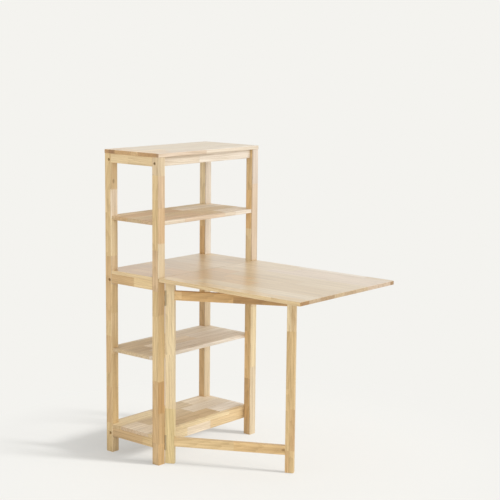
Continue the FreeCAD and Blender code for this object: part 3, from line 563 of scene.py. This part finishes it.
# Zinc-plated steel, rolled and pressed: a soft, cloudy shine with fine lines in it, in a pale warm grey that is partly
# a painted reflection of the wood.
zinc, tree = empty_material("zinc-plated steel")
place = add(tree, "TexCoord").outputs["Object"]
cloud = add(tree, "TexNoise", {"Vector": place, "Scale": 1 / (CLOUD_MM * MM), "Detail": 3.0})
spot = add(tree, "VectorMath", {0: place, 1: [1 / (size * MM) for size in ROLLED_MM]}, operation="MULTIPLY")
mark = add(tree, "TexNoise", {"Vector": spot, "Scale": 1.0, "Detail": 2.0})
shine = add(tree, "MapRange", {"Value": cloud, **USUAL_NOISE, **ZINC_ROUGHNESS})
tint = add(tree, "ValToRGB", {0: cloud})
for stop, tone in zip(tint.color_ramp.elements, ZINC_AND_WOOD_REFLECTION_TONES):
    stop.color = linear(tone)
bump = add(tree, "Bump", {"Height": mark, "Strength": FAINT, "Distance": ROLLED_DEPTH_MM * MM})
steel = add(tree, "BsdfPrincipled", {"Base Color": tint, "Metallic": 1.0, "Roughness": shine, "Normal": bump})
add(tree, "OutputMaterial", {"Surface": steel})
fasteners = ("frame_bolts", "barrel_nuts", "board_screws", "shelf_pins")
steel_nodes = [name for name in nodes if "hinge" in name or name in fasteners]
for name in steel_nodes:
    nodes[name].material_slots[0].material = zinc
print(len(steel_nodes), "steel pieces")

# %% Bare beech
FLECK_MM, FLECK_DEPTH_MM = 2, 0.2
BEECH_TONES = ("#C79F72", "#DDBB90")
BEECH_ROUGHNESS = {"To Min": 0.6, "To Max": 0.75}
# Bare beech, turned and left dry: a dull reddish tan with short flecks.
beech, tree = empty_material("bare beech")
place = add(tree, "TexCoord").outputs["Object"]
fleck = add(tree, "TexNoise", {"Vector": place, "Scale": 1 / (FLECK_MM * MM), "Detail": 2.0})
tint = add(tree, "ValToRGB", {0: fleck})
for stop, tone in zip(tint.color_ramp.elements, BEECH_TONES):
    stop.color = linear(tone)
dull = add(tree, "MapRange", {"Value": fleck, **BEECH_ROUGHNESS})
bump = add(tree, "Bump", {"Height": fleck, "Strength": FAINT, "Distance": FLECK_DEPTH_MM * MM})
bare = add(tree, "BsdfPrincipled", {"Base Color": tint, "Roughness": dull, "Normal": bump})
add(tree, "OutputMaterial", {"Surface": bare})
for name in ("rail_dowels", "gate_dowels"):
    nodes[name].material_slots[0].material = beech
print("dowels of", beech.name)

# %% [markdown]
# ## Small turned and stamped pieces
# The CAD model holds every screw, nut and pin as a plain solid, so that it can be counted and weighed. Here they get
# what a hand would feel: a driver recess in each screw, a slot in each barrel nut, a rounded nose and a groove on
# each shelf pin. The new pieces go where the CAD solids are. One could write the places down again, but then they
# would be wrong after the next change of size, so we read them off the CAD meshes: each loose solid in a mesh is one
# screw, and its longest side tells which way it points.

# %% Find the loose solids of a CAD piece
SAME_SPOT = 0.001 * MM


def solids_of(name):
    """The corner points of each loose solid of a CAD piece, from a merged copy of its mesh."""
    shape = bmesh.new()
    shape.from_mesh(nodes[name].data)
    bmesh.ops.remove_doubles(shape, verts=shape.verts, dist=SAME_SPOT)
    waiting, groups = set(shape.verts), []
    for first in shape.verts:
        if first not in waiting:
            continue
        waiting.remove(first)
        group, reached = [], [first]
        while reached:
            corner = reached.pop()
            group.append(corner.co.copy())
            near = {edge.other_vert(corner) for edge in corner.link_edges} & waiting
            waiting -= near
            reached.extend(near)
        groups.append(group)
    shape.free()
    return groups


print(len(solids_of("hinge_screws_gate")), "screws in the gate's hinges")

# %% Where a small piece sits
def seat(points, ways):
    """The place of a CAD solid that points along one of the ways: its head at the origin, looking up the Z axis."""
    def span(way):
        values = [point.dot(way) for point in points]
        return min(values), max(values)

    way = max(ways, key=lambda way: span(way)[1] - span(way)[0])
    turn = (-way).to_track_quat("Z", "Y").to_matrix()
    side, front, out = turn.transposed()
    middle = side * sum(span(side)) / 2 + front * sum(span(front)) / 2
    return Matrix.Translation(middle + out * span(out)[1]) @ turn.to_4x4()


first_nut = seat(solids_of("barrel_nuts")[0], (-Y,)).translation
print("the first barrel nut's face is at", [round(c / MM) for c in first_nut], "mm")

# %% Join small pieces into one object
def small_pieces(name, node, body, shape, ways):
    """Put a copy of a small shape on every solid of a CAD piece, as one new object that stands for it."""
    one = bpy.data.meshes.new("one_of_" + name)
    bmesh.ops.recalc_face_normals(shape, faces=shape.faces)
    shape.to_mesh(one)
    shape.free()
    whole = bmesh.new()
    places = [seat(points, ways) for points in solids_of(node)]
    for place in places:
        old = len(whole.verts)
        whole.from_mesh(one)
        whole.verts.ensure_lookup_table()
        bmesh.ops.transform(whole, matrix=place, verts=whole.verts[old:])
    mesh = bpy.data.meshes.new(name)
    whole.to_mesh(mesh)
    whole.free()
    bpy.data.meshes.remove(one)
    mesh.materials.append(zinc)
    piece = bpy.data.objects.new(name, mesh)
    bpy.context.scene.collection.objects.link(piece)
    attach(piece, body)
    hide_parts(node)
    print(name, len(places), "pieces,", len(mesh.polygons), "faces")


print("small pieces are of", zinc.name)

# %% [markdown]
# ## Screws with a cross recess
# A wood screw is pressed from wire: a punch makes the recess, and the thread is rolled. A grid of five by five cells,
# pushed round into a disc, already holds a cross of five cells in its middle. Extruded downwards they are the recess.
# The rim of the disc is then drawn down step by step into the cone, the shank and the point. The thread is a row of
# rings: a true spiral would need many more faces, and nobody could tell the two apart on a screw this small.

# %% A round head with a recess
CELLS = 5
CROSS = {(0, 0), (1, 0), (-1, 0), (0, 1), (0, -1)}
SLOT = {(-2, 0), (-1, 0), (0, 0), (1, 0), (2, 0)}
RECESS_TAPER = 0.85


def recessed_head(radius_mm, recess, depth_mm):
    """A round face with some of its five by five cells sunk, looking up from the origin."""
    shape = bmesh.new()
    bmesh.ops.create_grid(shape, x_segments=CELLS, y_segments=CELLS, size=1.0)
    cells = [face for face in shape.faces
             if tuple(round(c * CELLS / 2) for c in face.calc_center_median().xy) in recess]
    for corner in shape.verts:
        x, y = corner.co.xy
        corner.co.xy = x * math.sqrt(1 - y * y / 2), y * math.sqrt(1 - x * x / 2)
    bmesh.ops.scale(shape, vec=(radius_mm * MM,) * 3, verts=shape.verts)
    floor_of_recess = bmesh.ops.extrude_face_region(shape, geom=cells)["geom"]
    bmesh.ops.delete(shape, geom=cells, context="FACES")
    corners = [part for part in floor_of_recess if isinstance(part, bmesh.types.BMVert)]
    bmesh.ops.translate(shape, vec=(0, 0, -depth_mm * MM), verts=corners)
    bmesh.ops.scale(shape, vec=(RECESS_TAPER, RECESS_TAPER, 1.0), verts=corners)
    return shape


print("a cross of", len(CROSS), "cells, a slot of", len(SLOT))

# %% Shank, thread and point
THREAD_ROOT = 0.78


def draw_down(shape, *steps_mm):
    """Draw the open rim of a round piece down through steps of (depth, radius), and close its end."""
    for depth, radius in steps_mm:
        rim = [edge for edge in shape.edges if edge.is_boundary]
        drawn = bmesh.ops.extrude_edge_only(shape, edges=rim)["geom"]
        corners = [part for part in drawn if isinstance(part, bmesh.types.BMVert)]
        for corner in corners:
            corner.co.xy = corner.co.xy.normalized() * radius * MM
            corner.co.z = -depth * MM
    bmesh.ops.holes_fill(shape, edges=[edge for edge in shape.edges if edge.is_boundary], sides=0)
    return shape


def thread(start_mm, end_mm, radius_mm, pitch_mm):
    """Steps of a rolled thread: a crest and a root for every pitch."""
    turns = int((end_mm - start_mm) / pitch_mm)
    for turn in range(turns):
        yield start_mm + (turn + 0.5) * pitch_mm, radius_mm
        yield start_mm + (turn + 1.0) * pitch_mm, radius_mm * THREAD_ROOT


print("a thread of 8 mm has", len(list(thread(0, 8, 1, 1.3))) // 2, "turns at a pitch of 1.3 mm")

# %% Hinge screws and board screws
# In millimetres: radius of the head and depth of its recess; (depth, radius) of the steps below the head; start, end,
# radius and pitch of the thread; (depth, radius) of the point.
HINGE_SCREW = (3.3, 1.1), [(1.55, 1.75)], (2.0, 10.0, 1.75, 1.3), (12.0, 0.2)
BOARD_SCREW = (4.0, 1.4), [(0.4, 4.0), (2.5, 1.9)], (4.0, 29.0, 1.75, 2.0), (32.0, 0.2)


def wood_screw(head, neck, rolled, point):
    """A countersunk wood screw with a cross recess."""
    radius, depth = head
    return draw_down(recessed_head(radius, CROSS, depth), *neck, *thread(*rolled), point)


for part, body in {"unit": "shelf_unit", "gate": "gate", "leaf": "leaf"}.items():
    screw = wood_screw(*HINGE_SCREW)
    small_pieces("cross_screws_" + part, "hinge_screws_" + part, body, screw, (-X, Z, GATE_ALONG))
small_pieces("cross_board_screws", "board_screws", "shelf_unit", wood_screw(*BOARD_SCREW), (Z,))

# %% [markdown]
# ## Barrel nuts and shelf pins
# A barrel nut lies across the end of a long rail, and the slot in its face turns it until the bolt finds its thread.
# A shelf pin is turned on a lathe, so its outline is spun about its axis.

# %% Barrel nuts
NUT_FACE_MM, NUT_SLOT_MM = 4.7, 1.6
NUT_SIDE_MM = [(0.4, 5.0), (11.6, 5.0), (12.0, 4.6)]
nut = draw_down(recessed_head(NUT_FACE_MM, SLOT, NUT_SLOT_MM), *NUT_SIDE_MM)
small_pieces("slotted_barrel_nuts", "barrel_nuts", "shelf_unit", nut, (-Y,))

# %% Shelf pins
PIN_LENGTH_MM, PIN_SIDES = 22, 24
NOSE_MM = [(0, 0), (1.2, 0), (2.0, -0.3), (2.4, -0.8), (2.5, -1.5), (2.5, -8.8), (2.2, -9.1), (2.2, -9.7),
           (2.5, -10.0)]
PIN_MM = NOSE_MM + [(radius, -PIN_LENGTH_MM - height) for radius, height in reversed(NOSE_MM)]


def turned(outline_mm):
    """Turn an outline of (radius, height) about the Z axis, as on a lathe."""
    shape = bmesh.new()
    corners = [shape.verts.new((radius * MM, 0, height * MM)) for radius, height in outline_mm]
    edges = [shape.edges.new(pair) for pair in zip(corners, corners[1:])]
    bmesh.ops.spin(shape, geom=corners + edges, axis=Z, cent=(0, 0, 0), angle=2 * math.pi, steps=PIN_SIDES,
                   use_merge=True)
    bmesh.ops.remove_doubles(shape, verts=shape.verts, dist=SAME_SPOT)
    return shape


small_pieces("turned_shelf_pins", "shelf_pins", "shelf_unit", turned(PIN_MM), (Y,))

# %% [markdown]
# ## Floor and light
# The photo was taken in a pale studio, with a large soft light from the right, a weaker one from the left and a
# bright room all round. Its floor keeps one pale colour up to the horizon, and takes a soft shadow that fades with
# the distance from the object. Lamps that make a floor so pale would bleach the wood. So the floor glows in its own
# colour, and round the object a share of the glow gives way to two lamps that light the floor alone. What the object
# keeps from the floor is its shadow. Two weaker lamps light the object, and light linking keeps each pair to its
# task. All four are suns with wide discs, so their shadows are soft and their light is as strong everywhere.
#
# Only the eye, mirrors and glass see that floor and the pale room behind it. Light that bounces on to the object
# comes from a plain grey floor and a plain white room.

# %% What the eye and mirrors see
PALE = "#F4F3EF"


def seen_directly(tree):
    """1 for a ray from the camera, from a glossy surface or through glass, and 0 for light that bounces."""
    ray = add(tree, "LightPath").outputs
    seen = add(tree, "Math", {0: ray["Is Camera Ray"], 1: ray["Is Glossy Ray"]}, operation="MAXIMUM")
    return add(tree, "Math", {0: seen, 1: ray["Is Transmission Ray"]}, operation="MAXIMUM")


print("the room is", PALE, "to the eye")

# %% The floor
FLOOR_HALF_M = 30.0
shape = bmesh.new()
bmesh.ops.create_grid(shape, x_segments=2, y_segments=2, size=FLOOR_HALF_M)
floor_mesh = bpy.data.meshes.new("studio_floor")
shape.to_mesh(floor_mesh)
shape.free()
floor = bpy.data.objects.new("studio_floor", floor_mesh)
bpy.context.scene.collection.objects.link(floor)
print("a floor of", 2 * FLOOR_HALF_M, "m")

# %% Studio paper
BOUNCED = "#C0BFBC"
# Share of the floor's own lamps near the object, fading to none between these distances from the origin in metres.
LAMP_SHARE = {"From Min": 0.62, "From Max": 1.25, "To Min": 0.33, "To Max": 0.0}
# How bright these lamps make the paper where nothing shades it: what they give, the glow gives up.
LAMPS_GIVE = 1.66
# Matt studio paper: one pale colour with no shine, on which only the shadow shows.
paper, tree = empty_material("pale studio paper")
place = add(tree, "TexCoord").outputs["Object"]
away = add(tree, "VectorMath", {0: place}, operation="LENGTH").outputs["Value"]
share = add(tree, "MapRange", {"Value": away, **LAMP_SHARE}, interpolation_type="SMOOTHSTEP")
sheet = add(tree, "BsdfDiffuse", {"Color": linear(PALE)})
dark = add(tree, "Emission", {"Strength": 0.0})
lit = add(tree, "MixShader", {0: share, 1: dark, 2: sheet})
rest = add(tree, "Math", {0: share, 1: -LAMPS_GIVE, 2: 1.0}, operation="MULTIPLY_ADD")
glow = add(tree, "Emission", {"Color": linear(PALE), "Strength": rest})
seen = add(tree, "AddShader", {0: lit, 1: glow})
bounced = add(tree, "BsdfDiffuse", {"Color": linear(BOUNCED)})
both = add(tree, "MixShader", {0: seen_directly(tree), 1: bounced, 2: seen})
add(tree, "OutputMaterial", {"Surface": both})
floor_mesh.materials.append(paper)
print("the floor is of", paper.name)

# %% The room
ROOM_LIGHT = 0.72
world = bpy.data.worlds.new("studio")
bpy.context.scene.world = world
world.use_nodes = True
tree = world.node_tree
tree.nodes.clear()
room = add(tree, "Background", {"Color": linear("#FFFFFF"), "Strength": ROOM_LIGHT})
backdrop = add(tree, "Background", {"Color": linear(PALE), "Strength": 1.0})
both = add(tree, "MixShader", {0: seen_directly(tree), 1: room, 2: backdrop})
add(tree, "OutputWorld", {"Surface": both})
bpy.context.scene.view_settings.view_transform = "Standard"
print("a white room of strength", ROOM_LIGHT)

# %% The lamps
# Where a lamp stands as seen from the object, its strength, its disc in degrees, and whether it lights the floor alone.
SUNS = {
    "right_softbox": ((0.4, -0.75, 0.53), 1.0, 40, False),
    "left_reflector": ((-0.72, -0.55, 0.42), 0.57, 60, False),
    "floor_key": ((0.415, -0.815, 0.391), 6.4, 10, True),
    "floor_fill": ((0.26, -0.88, 0.375), 1.8, 36, True),
}
for name, (towards, strength, disc_degrees, on_floor) in SUNS.items():
    lamp = bpy.data.lights.new(name, "SUN")
    lamp.energy = strength
    lamp.angle = math.radians(disc_degrees)
    holder = bpy.data.objects.new(name, lamp)
    holder.rotation_euler = Vector(towards).to_track_quat("Z", "Y").to_euler()
    holder.visible_glossy = False
    bpy.context.scene.collection.objects.link(holder)
    chosen = bpy.data.collections.new(name)
    chosen.objects.link(floor)
    chosen.collection_objects[0].light_linking.link_state = "INCLUDE" if on_floor else "EXCLUDE"
    holder.light_linking.receiver_collection = chosen
print(len(SUNS), "suns,", sum(on_floor for *_, on_floor in SUNS.values()), "of them on the floor alone")

# %% [markdown]
# ## The camera
# The camera was worked out from the straight edges in the photo: it stands about five metres away to the front
# left, a little above the shelf unit, and looks slightly down through a long lens.

# %% Place the camera
CAMERA_AT = Vector((-3.887, -3.2937, 1.662))
TURN, DIP, ROLL = math.radians(49.83), math.radians(9.07), math.radians(0.61)
SENSOR_MM, LENS_MM, SIGHT_M = 36.0, 94.97, 200.0
forward = Vector((math.sin(TURN) * math.cos(DIP), math.cos(TURN) * math.cos(DIP), -math.sin(DIP)))
level_right = Vector((math.cos(TURN), -math.sin(TURN), 0))
level_up = level_right.cross(forward)
right = level_right * math.cos(ROLL) + level_up * math.sin(ROLL)
up = level_up * math.cos(ROLL) - level_right * math.sin(ROLL)
lens = bpy.data.cameras.new("camera")
lens.sensor_fit = "HORIZONTAL"
lens.sensor_width = SENSOR_MM
lens.lens = LENS_MM
lens.clip_end = SIGHT_M
camera = bpy.data.objects.new("camera", lens)
camera.matrix_world = Matrix.Translation(CAMERA_AT) @ Matrix([right, up, -forward]).transposed().to_4x4()
bpy.context.scene.collection.objects.link(camera)
bpy.context.scene.camera = camera
print("camera", [round(c, 2) for c in CAMERA_AT], "lens", lens.lens)
